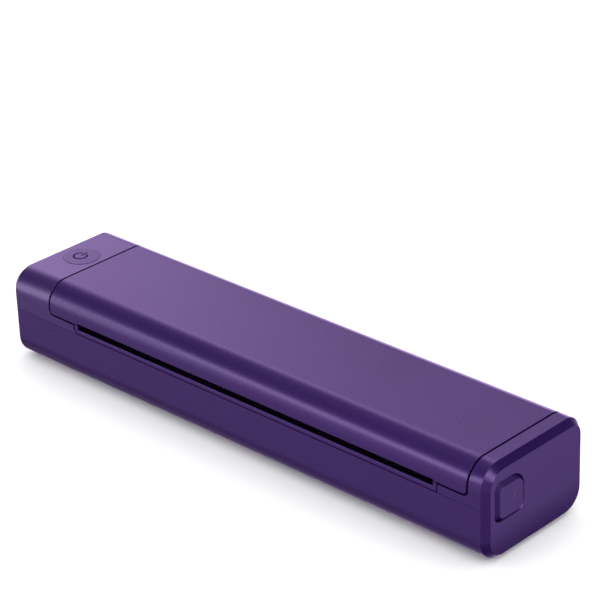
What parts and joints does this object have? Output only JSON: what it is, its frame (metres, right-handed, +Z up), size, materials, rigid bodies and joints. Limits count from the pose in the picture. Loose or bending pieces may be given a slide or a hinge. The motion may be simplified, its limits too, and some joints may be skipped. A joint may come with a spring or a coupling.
{
  "type": "thermal stencil printer",
  "caption": "Slim portable thermal stencil printer: long rounded box with a rear-hinged cover, front paper slot, round power button on top and a release button on the right end.",
  "frame": {"origin": "centre of the bounding box, on the plane that the rubber feet stand on", "axes": "+X along the length towards the end with the release button, -Y is the front with the paper slot, +Z up"},
  "size_m": [0.2946, 0.0646, 0.0463],
  "materials": {
    "casing_plastic": "satin violet moulded shell",
    "cover_plastic": "satin violet moulded shell",
    "button_plastic": "satin violet moulded button",
    "inner_plastic": "black inner moulding",
    "gear_plastic": "natural acetal",
    "rubber_black": "matt rubber",
    "steel": "ground steel",
    "aluminium": "extruded aluminium",
    "brass": "sintered bronze",
    "ceramic": "glazed alumina",
    "pcb": "green solder mask",
    "chips": "black epoxy packages",
    "cell_wrap": "shrink-wrapped cells",
    "flat_cable": "flat flexible cable",
    "wire_insulation": "stranded leads in soft insulation",
    "screw_steel": "black zinc screws"
  },
  "bodies": {
    "base": {"lower_casing": "casing_plastic", "upper_frame": "casing_plastic", "left_end_cap": "casing_plastic", "right_end_cap": "casing_plastic", "paper_exit_bezel": "casing_plastic", "hinge_pin_left": "steel", "hinge_pin_right": "steel", "head_pivot_pin_left": "steel", "head_pivot_pin_right": "steel", "head_springs": "steel", "head_ribbon": "flat_cable", "stepper_motor": "steel", "motor_screws": "screw_steel", "motor_bracket": "steel", "gear_stud": "steel", "gear_clip": "steel", "latch_spring": "steel", "tact_switch": "chips", "button_board": "pcb", "button_board_screws": "screw_steel", "main_board": "pcb", "main_board_screws": "screw_steel", "board_components": "chips", "usb_c_receptacle": "steel", "battery_cells": "cell_wrap", "battery_cradle": "inner_plastic", "paper_sensor": "chips", "motor_lead": "wire_insulation", "battery_lead": "wire_insulation", "button_lead": "wire_insulation", "rubber_feet": "rubber_black", "casing_screws": "screw_steel"},
    "cover": {"top_cover": "cover_plastic", "platen_frame": "inner_plastic", "cover_screws": "screw_steel", "platen_bushing_left": "brass", "platen_bushing_right": "brass"},
    "platen": {"platen_shaft": "steel", "platen_rubber": "rubber_black", "platen_gear": "gear_plastic", "platen_clip": "steel"},
    "print_head": {"head_heat_sink": "aluminium", "print_head_ceramic": "ceramic", "head_driver_strip": "chips", "head_connector": "flat_cable"},
    "latch": {"latch_bar": "inner_plastic", "release_button": "button_plastic"},
    "power_key": {"power_button": "button_plastic", "switch_plunger": "chips"},
    "reduction": {"reduction_gear": "gear_plastic"},
    "motor_rotor": {"motor_shaft": "steel", "motor_pinion": "brass"}
  },
  "joints": [
    {"name": "cover_hinge", "type": "hinge", "parent": "base", "child": "cover", "pos_m": [0, 0.0283, 0.0317], "axis": [-1, 0, 0], "range_deg": [0, 85]},
    {"name": "platen_spin", "type": "hinge", "parent": "cover", "child": "platen", "pos_m": [0, -0.014, 0.0361], "axis": [1, 0, 0], "continuous": true},
    {"name": "reduction_spin", "type": "hinge", "parent": "base", "child": "reduction", "pos_m": [0, -0.01332, 0.02512], "axis": [1, 0, 0], "continuous": true},
    {"name": "motor_spin", "type": "hinge", "parent": "base", "child": "motor_rotor", "pos_m": [0, -0.00992, 0.01466], "axis": [1, 0, 0], "continuous": true},
    {"name": "head_pivot", "type": "hinge", "parent": "base", "child": "print_head", "pos_m": [0, 0.004, 0.025], "axis": [1, 0, 0], "range_deg": [0, 2], "stiffness_Nm_per_rad": 6, "springref_deg": -2.86, "deforming": ["head_springs"]},
    {"name": "release_slide", "type": "slide", "parent": "base", "child": "latch", "axis": [-1, 0, 0], "range_m": [0, 0.0015], "stiffness_N_per_m": 800, "springref_m": -0.001, "deforming": ["latch_spring"]},
    {"name": "power_press", "type": "slide", "parent": "base", "child": "power_key", "axis": [0, 0, -1], "range_m": [0, 0.0006], "stiffness_N_per_m": 2000, "springref_m": -0.0003}
  ],
  "couplings": [
    {"joint": "reduction_spin", "follows": "platen_spin", "ratio": -1.75},
    {"joint": "motor_spin", "follows": "platen_spin", "ratio": 4.6667}
  ]
}
